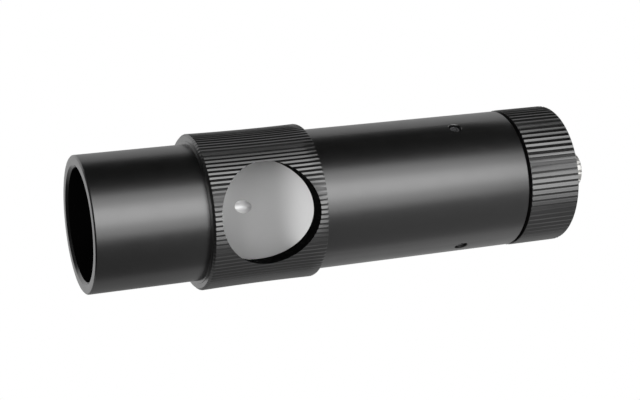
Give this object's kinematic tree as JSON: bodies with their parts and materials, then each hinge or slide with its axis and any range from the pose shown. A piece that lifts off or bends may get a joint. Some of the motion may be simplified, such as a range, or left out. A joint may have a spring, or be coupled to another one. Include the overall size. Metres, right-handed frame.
{
  "type": "telescope collimator",
  "caption": "Laser collimator for a 1.25 inch telescope focuser: tube with a slanted target behind a round window in a ribbed collar, adjusting screws, and a battery cap with a push button.",
  "frame": {"origin": "centre of the nose's open end, on the surface that the collimator stands on", "axes": "+Z along the tube's axis from the nose to the push button, -Y out of the sight window"},
  "size_m": [0.0364, 0.0364, 0.1275],
  "materials": {
    "black_anodised": "satin black anodised",
    "ribbed_anodised": "black anodised, milled ribs",
    "target_silver": "fine matt blasted",
    "chrome": "polished nickel-chrome plate",
    "black_steel": "black oxide",
    "spring_steel": "plated wire",
    "cell_steel": "plain steel can",
    "brass": "turned",
    "diode_gold": "gold flash",
    "lens_glass": "polished",
    "rubber": "black nitrile",
    "board_green": "glass-epoxy board",
    "black_plastic": "moulded black plastic"
  },
  "bodies": {
    "tube": {"body_tube": "black_anodised", "window_collar": "ribbed_anodised", "target_plug": "target_silver", "laser_carrier": "black_anodised", "pivot_ring": "rubber", "laser_barrel": "brass", "lens_cell": "brass", "collimating_lens": "lens_glass", "lens_spring": "spring_steel", "diode_holder": "brass", "laser_diode": "diode_gold", "driver_board": "board_green", "contact_spring": "spring_steel", "battery_holder": "black_plastic", "coin_cell": "cell_steel"},
    "screw_1": {"adjusting_screw_1": "black_steel"},
    "screw_2": {"adjusting_screw_2": "black_steel"},
    "screw_3": {"adjusting_screw_3": "black_steel"},
    "seal": {"seal_ring": "rubber"},
    "cap": {"rear_cap": "ribbed_anodised", "switch_bushing": "chrome", "switch_body": "black_plastic", "switch_terminal": "brass", "switch_washer": "chrome", "switch_nut": "chrome", "button_spring": "spring_steel", "tail_spring": "spring_steel"},
    "button": {"push_button": "chrome"}
  },
  "joints": [
    {"name": "cap_rise", "type": "slide", "parent": "tube", "child": "seal", "axis": [0, 0, 1], "range_m": [0, 0.0059]},
    {"name": "cap_turn", "type": "hinge", "parent": "seal", "child": "cap", "pos_m": [0, 0, 0.10654], "axis": [0, 0, 1], "range_deg": [0, 2160]},
    {"name": "button_press", "type": "slide", "parent": "cap", "child": "button", "axis": [0, 0, 1], "range_m": [-0.001, 0], "stiffness_N_per_m": 250, "springref_m": 0.003, "deforming": ["button_spring"]},
    {"name": "screw_1_turn", "type": "hinge", "parent": "tube", "child": "screw_1", "pos_m": [0, 0, 0.09085], "axis": [0, 1, 0], "range_deg": [-180, 180]},
    {"name": "screw_2_turn", "type": "hinge", "parent": "tube", "child": "screw_2", "pos_m": [0, 0, 0.09085], "axis": [-0.866, -0.5, 0], "range_deg": [-180, 180]},
    {"name": "screw_3_turn", "type": "hinge", "parent": "tube", "child": "screw_3", "pos_m": [0, 0, 0.09085], "axis": [0.866, -0.5, 0], "range_deg": [-180, 180]}
  ],
  "couplings": [
    {"joint": "cap_turn", "follows": "cap_rise", "rad_per_m": 6283.2}
  ]
}
